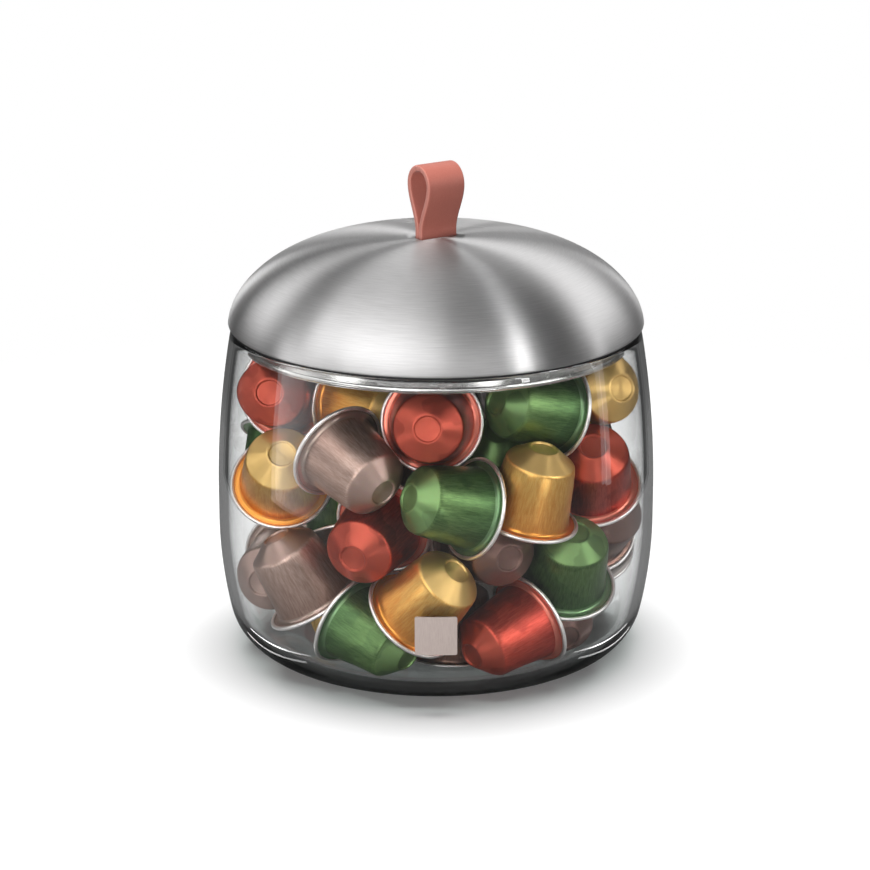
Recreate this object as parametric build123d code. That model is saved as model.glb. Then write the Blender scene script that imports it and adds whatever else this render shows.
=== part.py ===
from build123d import *
import math
import os

import numpy as np

# Coffee capsule dispenser: a barrel shaped glass jar full of coffee capsules, under a domed steel lid
# with a leather loop. Sizes are in millimetres and angles in degrees. +Z is up. The jar stands on Z = 0
# with its axis on the origin, and its front, which carries the badge, faces -Y.

# Glass jar: a flat foot, a corner arc, a side arc up to the belly, then a shoulder arc up to the mouth
BELLY_R = 81.0
BELLY_LOW = 50.0
BELLY_TOP = 60.0
MOUTH_STEP = 5.5
JAR_HEIGHT = 123.2
WALL = 3.4
FLOOR = 4.5
SIDE_ARC = 155.0
CORNER_ARC = 20.0
FOOT_RING = 7.6
FOOT_HOLLOW_DEPTH = 1.0

# Badge: a small square plate bent to the glass, on an adhesive pad
BADGE_SIZE = 15.0
BADGE_MIDDLE = 30.4
BADGE_THICK = 0.6
BADGE_CORNER = 0.6
PAD_THICK = 0.3
PAD_INSET = 0.8

# Gasket: a flat ring under the lid's edge, with a skirt that goes into the mouth
SEAT_GAP = 0.2
GASKET_THICK = 0.8
GASKET_OVERHANG = 0.5
SKIRT_THICK = 0.9
SKIRT_DEPTH = 2.6
SKIRT_GAP = 0.3

# Lid: a spun dome with a hemmed edge, and a plug ring welded inside it
LID_OVERHANG = 0.9
LID_RISE = 31.8
LID_SHEET = 0.8
CROWN_FLAT_R = 11.0
CROWN_POWER = 2.5
CROWN_FALL = 1.72
PLUG_DEPTH = 7.0
PLUG_SHEET = 0.8
PLUG_BEAD = 2.0
PLUG_BEAD_OUT = 0.5
WELD_GAP = 0.05

# Leather strap, folded over into a loop and turned away from the front
STRAP_WIDTH = 15.5
STRAP_THICK = 2.2
STRAP_TURN = 33.0
LOOP_R = 7.5
LOOP_HEIGHT = 27.3
LOOP_HOLE_LOW = 5.0
KNUCKLE_GAP = 0.3
TAIL_LENGTH = 11.0
SLOT_CLEAR = 0.3
SLOT_CORNER = 1.0

# Slotted plate under the crown, and the rivet through the tails
PLATE_R = 10.5
PLATE_THICK = 1.0
RIVET_DROP = 7.0
RIVET_R = 1.5
RIVET_HEAD_R = 3.5
RIVET_HEAD_THICK = 1.0
RIVET_CAP_THICK = 1.4
RIVET_CLEAR = 0.05
RIVET_GRIP = 0.8

# Coffee capsule: foil at the bottom, curled rim, tapered cup, cone and a small recessed tip
RIM_R = 18.5
RIM_CURL = 0.75
FLANGE_THICK = 0.7
CUP_R = 14.8
SHOULDER_R = 12.2
SHOULDER_HEIGHT = 23.2
TIP_R = 5.3
CAPSULE_HEIGHT = 28.5
RECESS_R = 4.6
RECESS_DEPTH = 0.6
CAPSULE_MIDDLE = 12.0

# Pile: how close capsules lie to the glass and to each other, and the room left under the lid
PILE_GAP = 0.5
LEAST_GAP = 0.3
PILE_HEADROOM = 0.8

# Settling: rounds at most, rounds in which the seats still pull, how a push grows late on, how hard seats
# pull and hold against a push, and how much a push turns a capsule
SETTLE_ROUNDS = 480
HOLD_ROUNDS = 180
LATE_PUSH = 2.0
SEAT_PULL = 0.05
FIRMNESS = 3.0
SPIN_EASE = 0.004
STEP = 0.55

# Capsules that show through the front of the glass: colour, place of the middle, heading of the tip
# from the front towards +X, and pitch of the tip above level. Places across are shares of the belly's
# radius, and heights are shares of the jar's height.
FRONT_SEATS = [
    ("red", (-0.70, -0.18, 0.86), -4, 23),
    ("green", (-0.83, 0.08, 0.55), -14, -67),
    ("gold", (-0.67, -0.28, 0.65), 9, 30),
    ("taupe", (-0.35, -0.64, 0.69), 46, -16),
    ("red", (0.02, -0.71, 0.81), -2, 21),
    ("gold", (0.69, -0.17, 0.86), 50, -17),
    ("red", (0.72, -0.25, 0.69), -6, 50),
    ("gold", (0.45, -0.61, 0.58), 49, 76),
    ("green", (0.08, -0.71, 0.55), -86, 15),
    ("red", (-0.27, -0.64, 0.45), -24, -10),
    ("taupe", (-0.58, -0.42, 0.28), -131, 57),
    ("taupe", (-0.74, -0.06, 0.24), -15, 0),
    ("green", (-0.31, -0.66, 0.13), 51, -12),
    ("gold", (-0.08, -0.72, 0.25), 66, 41),
    ("red", (0.33, -0.68, 0.11), -54, 0),
    ("brown", (0.28, -0.60, 0.35), 14, -6),
    ("green", (0.61, -0.35, 0.25), -2, 58),
    ("brown", (0.79, -0.14, 0.30), -2, 9),
    ("brown", (0.82, 0.08, 0.19), -144, -60),
    ("brown", (0.64, -0.45, 0.10), 31, -6),
    ("green", (0.36, -0.46, 0.76), -63, 17),
    ("green", (0.41, -0.40, 0.59), 0, 65),
    ("gold", (-0.32, -0.34, 0.76), 33, -3),
    ("brown", (0.04, -0.46, 0.08), 180, 88),
    ("green", (-0.60, -0.22, 0.37), -170, 14),
    ("gold", (-0.54, -0.38, 0.17), -21, -39),
]
OUTER_SEATS = 20

# Behind, the same seats turned by half a turn, with their colours passed on. Seats nearer to the side
# than this share have no twin behind.
BACK_FROM = 0.16
BACK_COLOURS = {"red": "green", "green": "taupe", "taupe": "gold", "gold": "brown", "brown": "red"}

# Capsules on the jar's axis, which only fill the middle: shares of the jar's height
AXIS_SEATS = (0.50, 0.77)
AXIS_PITCH = 80.0

# How firmly each kind of seat holds its capsule
OUTER_HOLD = 1.0
INNER_HOLD = 0.5
BACK_HOLD = 0.2
AXIS_HOLD = 0.1

# Capsules with a file of their own, counted from the front. The rest share the core's file.
NAMED_CAPSULES = 48

# Lid and mouth follow the jar's belly
MOUTH_R = BELLY_R - MOUTH_STEP
LID_R = MOUTH_R + LID_OVERHANG


def arc_centres(inset, base):
    """Centres and radii of the corner, side and shoulder arcs, for a wall face inset from the outside."""
    rim_rise = JAR_HEIGHT - WALL / 2 - BELLY_TOP
    drop = BELLY_R - MOUTH_R
    shoulder = (rim_rise ** 2 + drop ** 2) / (2 * drop)
    corner_r = CORNER_ARC - inset
    side_x = BELLY_R - SIDE_ARC
    corner_z = base + corner_r
    reach = math.sqrt((SIDE_ARC - inset - corner_r) ** 2 - (BELLY_LOW - corner_z) ** 2)
    return {
        "corner": (side_x + reach, corner_z, corner_r),
        "side": (side_x, BELLY_LOW, SIDE_ARC - inset),
        "shoulder": (BELLY_R - shoulder, BELLY_TOP, shoulder - inset),
    }


def on_arc(arc, angle):
    """Point of an arc at an angle from level, as (radius, height)."""
    x, z, r = arc
    return x + r * math.cos(math.radians(angle)), z + r * math.sin(math.radians(angle))


def join_angle(arcs):
    """Angle at which the corner arc runs into the side arc."""
    cx, cz, _ = arcs["corner"]
    sx, sz, _ = arcs["side"]
    return math.degrees(math.atan2(cz - sz, cx - sx))


def rim_angle():
    """Angle on the shoulder arc at which the rounded rim starts."""
    _, _, r = arc_centres(0, 0)["shoulder"]
    return math.degrees(math.asin((JAR_HEIGHT - WALL / 2 - BELLY_TOP) / r))


def wall_edges(arcs, top_angle):
    """The wall face as three arcs and a straight belly, from the foot up to an angle on the shoulder."""
    join = join_angle(arcs)
    foot = on_arc(arcs["corner"], -90)
    corner_mid = on_arc(arcs["corner"], (join - 90) / 2)
    joint = on_arc(arcs["side"], join)
    side_mid = on_arc(arcs["side"], join / 2)
    belly_low = on_arc(arcs["side"], 0)
    belly_top = on_arc(arcs["shoulder"], 0)
    shoulder_mid = on_arc(arcs["shoulder"], top_angle / 2)
    end = on_arc(arcs["shoulder"], top_angle)
    return [
        ThreePointArc(foot, corner_mid, joint),
        ThreePointArc(joint, side_mid, belly_low),
        Line(belly_low, belly_top),
        ThreePointArc(belly_top, shoulder_mid, end),
    ]


def turned(edges):
    """Solid made by turning a closed outline of (radius, height) edges about the Z axis."""
    face = make_face(Curve() + edges)
    return revolve(Plane.XZ * face, Axis.Z, 360)


OUTER = arc_centres(0, 0)
INNER = arc_centres(WALL, FLOOR)
RIM_ANGLE = rim_angle()
MOUTH_IN_R = on_arc(INNER["shoulder"], RIM_ANGLE)[0]
RIM_MIDDLE = on_arc(arc_centres(WALL / 2, 0)["shoulder"], RIM_ANGLE)

# Heights and radii that follow from the jar
GASKET_LOW = RIM_MIDDLE[1] + WALL / 2 + SEAT_GAP
LID_EDGE = GASKET_LOW + GASKET_THICK
APEX = LID_EDGE + LID_RISE
SKIRT_R = MOUTH_IN_R - SKIRT_GAP
PLUG_R = SKIRT_R - SKIRT_THICK
PLUG_LOW = LID_EDGE - PLUG_DEPTH
HEM_IN_R = LID_R - 2 * LID_SHEET
PIVOT = APEX + STRAP_THICK + KNUCKLE_GAP
PILE_TOP = PLUG_LOW - PILE_HEADROOM


def glass_jar():
    """Glass jar with a rounded rim and a shallow hollow under its foot."""
    outer_end = on_arc(OUTER["shoulder"], RIM_ANGLE)
    inner_end = on_arc(INNER["shoulder"], RIM_ANGLE)
    lean = math.radians(RIM_ANGLE)
    rim_top = (RIM_MIDDLE[0] - WALL / 2 * math.sin(lean), RIM_MIDDLE[1] + WALL / 2 * math.cos(lean))
    foot = on_arc(OUTER["corner"], -90)
    floor = on_arc(INNER["corner"], -90)
    hollow_r = foot[0] - FOOT_RING
    hollow_mid = (hollow_r / 2, FOOT_HOLLOW_DEPTH * 0.75)
    edges = wall_edges(OUTER, RIM_ANGLE) + wall_edges(INNER, RIM_ANGLE)
    edges += [
        ThreePointArc(outer_end, rim_top, inner_end),
        Line(floor, (0, FLOOR)),
        Line((0, FLOOR), (0, FOOT_HOLLOW_DEPTH)),
        ThreePointArc((0, FOOT_HOLLOW_DEPTH), hollow_mid, (hollow_r, 0)),
        Line((hollow_r, 0), foot),
    ]
    return turned(edges)


def on_glass(near, far, size, corner):
    """Square patch that follows the outside of the glass, between two distances from it."""
    low, high = arc_centres(-near, 0), arc_centres(-far, 0)
    top = RIM_ANGLE
    near_edges, far_edges = wall_edges(low, top), wall_edges(high, top)
    near_ends = (on_arc(low["corner"], -90), on_arc(low["shoulder"], top))
    far_ends = (on_arc(high["corner"], -90), on_arc(high["shoulder"], top))
    band = turned(near_edges + far_edges + [Line(near_ends[0], far_ends[0]), Line(near_ends[1], far_ends[1])])
    square = Plane.XZ.offset(0) * Pos(0, BADGE_MIDDLE) * RectangleRounded(size, size, corner)
    return band & extrude(square, BELLY_R + 2 * far + 10)


def badge_pad():
    """Adhesive pad between the glass and the badge."""
    return on_glass(WELD_GAP, PAD_THICK, BADGE_SIZE - 2 * PAD_INSET, BADGE_CORNER)


def badge_plate():
    """Square metal badge bent to the glass."""
    return on_glass(PAD_THICK + WELD_GAP, PAD_THICK + WELD_GAP + BADGE_THICK, BADGE_SIZE, BADGE_CORNER)


def dome_height(r, widest, rise, base):
    """Height of the dome at a radius: a flat crown that falls ever more steeply to the edge."""
    share = max(0.0, (r - CROWN_FLAT_R) / (widest - CROWN_FLAT_R))
    return base + rise * (1 - min(1.0, share) ** CROWN_POWER) ** (1 / CROWN_FALL)


def dome_curve(widest, rise, base, end_r):
    """Smooth curve of the dome from the rim of the flat crown out to a radius."""
    shares = (0.0, 0.25, 0.45, 0.62, 0.76, 0.87, 0.95, 0.985, 1.0)
    radii = [CROWN_FLAT_R + (end_r - CROWN_FLAT_R) * s for s in shares]
    points = [(r, dome_height(r, widest, rise, base)) for r in radii]
    return Spline(points, tangents=[(1, 0), (points[-1][0] - points[-2][0], points[-1][1] - points[-2][1])])


def lid_dome():
    """Spun steel dome with a flat crown, a hemmed edge and the slot for the strap."""
    inner_r, inner_rise = LID_R - LID_SHEET, LID_RISE - LID_SHEET
    hem_top = dome_height(HEM_IN_R, inner_r, inner_rise, LID_EDGE)
    outer = dome_curve(LID_R, LID_RISE, LID_EDGE, LID_R)
    inner = dome_curve(inner_r, inner_rise, LID_EDGE, HEM_IN_R)
    edges = [
        Line((0, APEX), (CROWN_FLAT_R, APEX)),
        outer,
        Line((LID_R, LID_EDGE), (HEM_IN_R, LID_EDGE)),
        Line((HEM_IN_R, LID_EDGE), (HEM_IN_R, hem_top)),
        inner,
        Line((CROWN_FLAT_R, APEX - LID_SHEET), (0, APEX - LID_SHEET)),
        Line((0, APEX - LID_SHEET), (0, APEX)),
    ]
    return turned(edges) - strap_slot()


def strap_plane(height):
    """Plane across the strap: x runs through its thickness, y is up, and it faces along its width."""
    turn = math.radians(STRAP_TURN)
    across = (-math.sin(turn), math.cos(turn), 0)
    along = (math.cos(turn), math.sin(turn), 0)
    return Plane(origin=(0, 0, height), x_dir=across, z_dir=along)


def strap_slot():
    """Cutter for the slot that the strap's two tails go through."""
    length = STRAP_WIDTH + 2 * SLOT_CLEAR
    width = 2 * STRAP_THICK + 2 * SLOT_CLEAR
    deep = LID_SHEET + PLATE_THICK + 2
    outline = Pos(0, 0, APEX - deep) * Rot(0, 0, STRAP_TURN) * RectangleRounded(length, width, SLOT_CORNER)
    return extrude(outline, deep + 1)


def plug_ring():
    """Ring welded inside the dome: a flange on the gasket, a wall in the mouth and a bead below."""
    bead_r = PLUG_BEAD / 2
    wall_in = PLUG_R - PLUG_SHEET
    flange_out = HEM_IN_R - WELD_GAP
    bead_out = PLUG_R + PLUG_BEAD_OUT
    edges = [
        Line((wall_in, LID_EDGE + PLUG_SHEET), (flange_out, LID_EDGE + PLUG_SHEET)),
        Line((flange_out, LID_EDGE + PLUG_SHEET), (flange_out, LID_EDGE)),
        Line((flange_out, LID_EDGE), (PLUG_R, LID_EDGE)),
        Line((PLUG_R, LID_EDGE), (PLUG_R, PLUG_LOW + PLUG_BEAD)),
        ThreePointArc((PLUG_R, PLUG_LOW + PLUG_BEAD), (bead_out, PLUG_LOW + bead_r), (PLUG_R, PLUG_LOW)),
        Line((PLUG_R, PLUG_LOW), (wall_in, PLUG_LOW)),
        Line((wall_in, PLUG_LOW), (wall_in, LID_EDGE + PLUG_SHEET)),
    ]
    return turned(edges)


def gasket():
    """Silicone gasket: a flat ring between glass and lid, and a skirt inside the mouth."""
    inner_r = PLUG_R + WELD_GAP
    outer_r = LID_R - GASKET_OVERHANG
    low = GASKET_LOW - SKIRT_DEPTH
    corners = [
        (inner_r, LID_EDGE), (outer_r, LID_EDGE), (outer_r, GASKET_LOW),
        (SKIRT_R, GASKET_LOW), (SKIRT_R, low), (inner_r, low),
    ]
    return turned([Line(a, b) for a, b in zip(corners, corners[1:] + corners[:1])])


def slot_plate():
    """Round plate spot welded under the crown, with the same slot."""
    disc = Pos(0, 0, APEX - LID_SHEET - PLATE_THICK) * Cylinder(
        PLATE_R, PLATE_THICK, align=(Align.CENTER, Align.CENTER, Align.MIN))
    return disc - strap_slot()


def strap_loop():
    """The part of the strap above the lid: a teardrop loop with a round neck that it bends about."""
    top = APEX + LOOP_HEIGHT - LOOP_R - PIVOT
    hole_r = LOOP_R - STRAP_THICK
    hole_low = LOOP_HOLE_LOW - STRAP_THICK - KNUCKLE_GAP
    edges, hole = [], []
    for side in (-1, 1):
        edges.append(Spline((side * STRAP_THICK, 0), (side * LOOP_R, top), tangents=[(0, 1), (0, 1)]))
        hole.append(Spline((0, hole_low), (side * hole_r, top), tangents=[(side * 0.3, 1), (0, 1)]))
    edges += [
        ThreePointArc((-LOOP_R, top), (0, top + LOOP_R), (LOOP_R, top)),
        ThreePointArc((-STRAP_THICK, 0), (0, -STRAP_THICK), (STRAP_THICK, 0)),
    ]
    hole.append(ThreePointArc((-hole_r, top), (0, top + hole_r), (hole_r, top)))
    outline = make_face(Curve() + edges) - make_face(Curve() + hole)
    return extrude(strap_plane(PIVOT) * outline, STRAP_WIDTH / 2, both=True)


def strap_tails():
    """The strap's two tails, side by side in the slot, with the hole for the rivet."""
    outline = Pos(0, -TAIL_LENGTH / 2) * Rectangle(2 * STRAP_THICK, TAIL_LENGTH)
    tails = extrude(strap_plane(APEX) * outline, STRAP_WIDTH / 2, both=True)
    return tails - rivet_cylinder(RIVET_R + RIVET_CLEAR, -STRAP_THICK - 1, STRAP_THICK + 1)


def rivet_cylinder(radius, start, end):
    """Cylinder on the rivet's axis, between two distances through the strap's thickness."""
    across = strap_plane(APEX - RIVET_DROP).x_dir
    base = Vector(0, 0, APEX - RIVET_DROP) + across * start
    plane = Plane(origin=base, z_dir=across)
    return extrude(plane * Circle(radius), end - start)


def rivet():
    """Rivet post: a round head on one side of the tails and a shank through both."""
    face = STRAP_THICK + WELD_GAP
    head = rivet_cylinder(RIVET_HEAD_R, face, face + RIVET_HEAD_THICK)
    return head + rivet_cylinder(RIVET_R, -STRAP_THICK - RIVET_GRIP, face)


def rivet_cap():
    """Cap pressed over the end of the rivet's shank."""
    face = -STRAP_THICK - WELD_GAP
    bore_end = -STRAP_THICK - RIVET_GRIP - RIVET_CLEAR
    cap = rivet_cylinder(RIVET_HEAD_R, face - RIVET_CAP_THICK, face)
    return cap - rivet_cylinder(RIVET_R + RIVET_CLEAR, bore_end, face)


def capsule():
    """One sealed capsule standing on its foil, with its middle on the origin."""
    curl_x, curl_z = RIM_R - RIM_CURL, RIM_CURL / 2
    corners = [
        (0, 0), (curl_x, 0), (curl_x, FLANGE_THICK), (CUP_R + 0.6, FLANGE_THICK), (CUP_R, FLANGE_THICK + 1),
        (SHOULDER_R, SHOULDER_HEIGHT), (TIP_R, CAPSULE_HEIGHT), (RECESS_R, CAPSULE_HEIGHT),
        (RECESS_R - 0.3, CAPSULE_HEIGHT - RECESS_DEPTH), (0, CAPSULE_HEIGHT - RECESS_DEPTH),
    ]
    cup = turned([Line(a, b) for a, b in zip(corners, corners[1:] + corners[:1])])
    shoulder = cup.edges().filter_by(GeomType.CIRCLE).filter_by(
        lambda e: abs(e.center().Z - SHOULDER_HEIGHT) < 0.01 and abs(e.radius - SHOULDER_R) < 0.01)
    cup = fillet(shoulder, 1.2)
    curl = Pos(0, 0, curl_z) * Torus(curl_x, RIM_CURL)
    return Pos(0, 0, -CAPSULE_MIDDLE) * (cup + curl)


def tip_direction(heading, pitch):
    """Unit vector that a tip points along."""
    h, p = math.radians(heading), math.radians(pitch)
    return (math.sin(h) * math.cos(p), -math.cos(h) * math.cos(p), math.sin(p))


def seats():
    """All seats as (colour, place, tip direction, how firmly held), the front ones first."""
    rows = []
    for number, (colour, (x, y, z), heading, pitch) in enumerate(FRONT_SEATS):
        place = (x * BELLY_R, y * BELLY_R, z * JAR_HEIGHT)
        hold = OUTER_HOLD if number < OUTER_SEATS else INNER_HOLD
        rows.append((colour, place, tip_direction(heading, pitch), hold))
    for colour, (x, y, z), heading, pitch in FRONT_SEATS:
        if y < -BACK_FROM:
            place = (-x * BELLY_R, -y * BELLY_R, z * JAR_HEIGHT)
            rows.append((BACK_COLOURS[colour], place, tip_direction(heading + 180, pitch), BACK_HOLD))
    for number, share in enumerate(AXIS_SEATS):
        rows.append(("brown", (0, 0, share * JAR_HEIGHT), tip_direction(90 * number, AXIS_PITCH), AXIS_HOLD))
    return rows


# Outline of a capsule in (radius, height above its middle), for telling how close two of them are
OUTLINE = np.array([
    (0, 0), (RIM_R, 0), (RIM_R, RIM_CURL * 1.5), (CUP_R, RIM_CURL * 1.5 + 0.3),
    (SHOULDER_R, SHOULDER_HEIGHT), (TIP_R, CAPSULE_HEIGHT), (0, CAPSULE_HEIGHT),
]) - (0, CAPSULE_MIDDLE) - (0, RIM_CURL / 2) * np.array([[1], [1], [0], [0], [0], [0], [0]])


def skin_rings(on_rim):
    """Rings of test points on a capsule: radius, height and angle of each point."""
    rings = [
        (0, -RIM_CURL / 2, 1), (RIM_R / 2, -RIM_CURL / 2, 8), (RIM_R, 0, on_rim), (RIM_R, RIM_CURL * 1.5, on_rim),
        (SHOULDER_R, SHOULDER_HEIGHT, 24), ((SHOULDER_R + TIP_R) / 2, (SHOULDER_HEIGHT + CAPSULE_HEIGHT) / 2, 16),
        (TIP_R, CAPSULE_HEIGHT, 18), (0, CAPSULE_HEIGHT, 1),
    ]
    for share in (0.1, 0.35, 0.6, 0.82):
        rings.append((CUP_R + (SHOULDER_R - CUP_R) * share, SHOULDER_HEIGHT * share, 22))
    rows = []
    for radius, height, count in rings:
        for step in range(count):
            rows.append((radius, height - CAPSULE_MIDDLE, 2 * math.pi * step / count))
    return np.array(rows)


# Few points on the rim while the seats still pull, and close ones for telling when two rims cross
COARSE_RIM = 30
FINE_RIM = 96
COARSE_SKIN = skin_rings(COARSE_RIM)
FINE_SKIN = skin_rings(FINE_RIM)


def skin_points(places, tips, skin):
    """Test points of every capsule, in the jar's frame."""
    helper = np.where(np.abs(tips[:, 2:3]) < 0.9, [[0.0, 0.0, 1.0]], [[1.0, 0.0, 0.0]])
    u = np.cross(tips, helper)
    u /= np.linalg.norm(u, axis=1, keepdims=True)
    v = np.cross(tips, u)
    r, h, a = skin.T
    ring = (r * np.cos(a))[None, :, None] * u[:, None] + (r * np.sin(a))[None, :, None] * v[:, None]
    return places[:, None] + h[None, :, None] * tips[:, None] + ring


def outline_distance(r, h):
    """Signed distance from points to a capsule's outline, and the way out as (radius, height)."""
    p = np.stack([r, h], -1)
    start, run = OUTLINE[:-1], OUTLINE[1:] - OUTLINE[:-1]
    offset = p[..., None, :] - start
    share = np.clip((offset * run).sum(-1) / (run * run).sum(-1), 0, 1)
    away = offset - share[..., None] * run
    gaps = np.sqrt((away * away).sum(-1))
    nearest = gaps.argmin(-1)[..., None]
    gap = np.take_along_axis(gaps, nearest, -1)[..., 0]
    way = np.take_along_axis(away, nearest[..., None], -2)[..., 0, :]
    crosses = (start[:, 1] > h[..., None]) != ((start + run)[:, 1] > h[..., None])
    rise = np.where(run[:, 1] == 0, 1, run[:, 1])
    at = start[:, 0] + run[:, 0] * (h[..., None] - start[:, 1]) / rise
    inside = ((crosses & (at > r[..., None])).sum(-1) % 2) == 1
    sign = np.where(inside, -1.0, 1.0)
    way = way * (sign / np.maximum(gap, 1e-9))[..., None]
    return gap * sign, way


def between(points, places, tips):
    """Distance of each point from a capsule, and the way out of it in the jar's frame."""
    offset = points - places[:, None]
    h = (offset * tips[:, None]).sum(-1)
    radial = offset - h[..., None] * tips[:, None]
    r = np.sqrt((radial * radial).sum(-1))
    gap, way = outline_distance(r, h)
    radial /= np.maximum(r, 1e-9)[..., None]
    return gap, way[..., :1] * radial + way[..., 1:] * tips[:, None]


def to_wall(points):
    """Distance of each point from the inside of the jar and from the room's top, and the way in."""
    r = np.maximum(np.hypot(points[..., 0], points[..., 1]), 1e-9)
    z = points[..., 2]
    out = points / r[..., None] * (1, 1, 0)
    best = z - FLOOR
    way = np.zeros_like(points) + (0, 0, 1)
    top = PILE_TOP + PILE_GAP - z
    way = np.where((top < best)[..., None], (0, 0, -1), way)
    best = np.minimum(best, top)
    zones = {
        "corner": (z < INNER["corner"][1]) & (r > INNER["corner"][0]),
        "side": z <= BELLY_LOW,
        "shoulder": z >= BELLY_TOP,
    }
    for name, zone in zones.items():
        cx, cz, radius = INNER[name]
        reach = np.maximum(np.hypot(r - cx, z - cz), 1e-9)
        gap = radius - reach
        inward = -((r - cx) / reach)[..., None] * out
        inward[..., 2] = -(z - cz) / reach
        closer = zone & (gap < best)
        way = np.where(closer[..., None], inward, way)
        best = np.where(closer, gap, best)
    belly = (z > BELLY_LOW) & (z < BELLY_TOP) & (BELLY_R - WALL - r < best)
    way = np.where(belly[..., None], -out, way)
    return np.where(belly, BELLY_R - WALL - r, best), way


def press(depths, ways, points, middles, apart=0, late=0):
    """One push for each contact: how deep it is, which way, and how it turns the capsule."""
    deep = np.maximum(depths, 0)
    total = np.maximum(deep.sum(-1, keepdims=True), 1e-9)
    way = (deep[..., None] * ways).sum(-2) / total
    way = way + (1 + late - np.linalg.norm(way, axis=-1, keepdims=True)) * apart
    way /= np.maximum(np.linalg.norm(way, axis=-1, keepdims=True), 1e-9)
    spot = (deep[..., None] * points).sum(-2) / total
    return deep.max(-1), way, np.cross(spot - middles, way), spot


def settle(places, tips, hold):
    """Move capsules apart and in from the glass, keeping each as near its seat as the others let it."""
    goal_place, goal_tip = places.copy(), tips.copy()
    first, second = np.triu_indices(len(places), 1)
    reach = 2 * math.hypot(RIM_R, CAPSULE_MIDDLE) + PILE_GAP
    give = 1 / (1 + FIRMNESS * hold)
    for turn in range(SETTLE_ROUNDS):
        firm = SEAT_PULL * hold[:, None] * max(0.0, 1 - turn / HOLD_ROUNDS)
        places = places + firm * (goal_place - places)
        tips = tips + firm * (goal_tip - tips)
        tips /= np.linalg.norm(tips, axis=1, keepdims=True)
        near = np.linalg.norm(places[first] - places[second], axis=1) < reach
        a = np.concatenate([first[near], second[near]])
        b = np.concatenate([second[near], first[near]])
        skin = skin_points(places, tips, COARSE_SKIN if turn < HOLD_ROUNDS else FINE_SKIN)
        gap, way = between(skin[a], places[b], tips[b])
        apart = places[a] - places[b]
        apart /= np.linalg.norm(apart, axis=1, keepdims=True)
        late = max(0.0, LATE_PUSH * (turn - HOLD_ROUNDS) / SETTLE_ROUNDS)
        depth, push, twist, spot = press(PILE_GAP - gap, way, skin[a], places[a], apart, late)
        other = np.cross(spot - places[b], push)
        ease = give[a] * (1 + SPIN_EASE * (twist ** 2).sum(-1)) + give[b] * (1 + SPIN_EASE * (other ** 2).sum(-1))
        size_a, size_b = (depth * give[a] / ease)[:, None], (depth * give[b] / ease)[:, None]
        wall_gap, wall_way = to_wall(skin)
        wall_depth, wall_push, wall_twist, _ = press(PILE_GAP - wall_gap, wall_way, skin, places)
        wall_size = (wall_depth / (1 + SPIN_EASE * (wall_twist ** 2).sum(-1)))[:, None]
        move, spin = wall_size * wall_push, SPIN_EASE * wall_size * wall_twist
        np.add.at(move, a, size_a * push)
        np.add.at(move, b, -size_b * push)
        np.add.at(spin, a, SPIN_EASE * size_a * twist)
        np.add.at(spin, b, -SPIN_EASE * size_b * other)
        places = places + STEP * move
        tips = tips + STEP * np.cross(spin, tips)
        tips /= np.linalg.norm(tips, axis=1, keepdims=True)
        if turn > HOLD_ROUNDS and max(depth.max(), wall_depth.max()) < PILE_GAP - LEAST_GAP:
            break
    return places, tips


def close_gaps(places, tips):
    """Move each capsule that still lies free against whatever is nearest to it."""
    for one in range(len(places)):
        skin = skin_points(places[one:one + 1], tips[one:one + 1], FINE_SKIN)
        others = np.array([k for k in range(len(places)) if k != one])
        gap, way = between(np.repeat(skin, len(others), 0), places[others], tips[others])
        wall_gap, wall_way = to_wall(skin)
        gaps = np.concatenate([gap.ravel(), wall_gap.ravel()])
        ways = np.concatenate([way.reshape(-1, 3), wall_way.reshape(-1, 3)])
        nearest = gaps.argmin()
        if gaps[nearest] > PILE_GAP:
            places[one] -= (gaps[nearest] - PILE_GAP) * ways[nearest]
    return places


def pile():
    """Settled capsules as (colour, place, tip direction), in the order of their seats."""
    rows = seats()
    places = np.array([row[1] for row in rows], float)
    tips = np.array([row[2] for row in rows], float)
    hold = np.array([row[3] for row in rows])
    places, tips = settle(places, tips, hold)
    places = close_gaps(places, tips)
    return [(row[0], p, t) for row, p, t in zip(rows, places, tips)]


def seated(solid, place, tip):
    """A capsule moved to its place, with its tip along a direction."""
    side = np.cross(tip, (0, 0, 1) if abs(tip[2]) < 0.9 else (1, 0, 0))
    plane = Plane(origin=tuple(place), x_dir=tuple(side), z_dir=tuple(tip))
    return plane.location * solid


def main():
    """Write one STEP file for each piece."""
    os.makedirs("parts", exist_ok=True)
    pieces = {
        "glass_jar": glass_jar(),
        "badge_pad": badge_pad(),
        "badge_plate": badge_plate(),
        "lid_dome": lid_dome(),
        "plug_ring": plug_ring(),
        "gasket": gasket(),
        "slot_plate": slot_plate(),
        "strap_loop": strap_loop(),
        "strap_tails": strap_tails(),
        "rivet": rivet(),
        "rivet_cap": rivet_cap(),
    }
    one = capsule()
    settled = pile()
    counts, core = {}, []
    for number, (colour, place, tip) in enumerate(settled):
        solid = seated(one, place, tip)
        if number < NAMED_CAPSULES:
            counts[colour] = counts.get(colour, 0) + 1
            pieces[f"capsule_{colour}_{counts[colour]:02d}"] = solid
        else:
            core.append(solid)
    pieces["capsules_core"] = Compound(children=core)
    for name, piece in pieces.items():
        export_step(piece, f"parts/{name}.step")
    print(len(pieces), "files;", len(settled), "capsules; apex", round(APEX, 2), "plug low", round(PLUG_LOW, 2))


main()
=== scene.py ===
"""Looks of the coffee capsule dispenser: glass jar, capsules, steel lid, gasket and leather loop.

The CAD nodes are loaded in metres, and each piece made here stands where the CAD says. Lengths in
the object's classes are in millimetres, as in the model's source, and are turned into metres when
a mesh is made. Those of the studio are in metres.
"""

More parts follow.
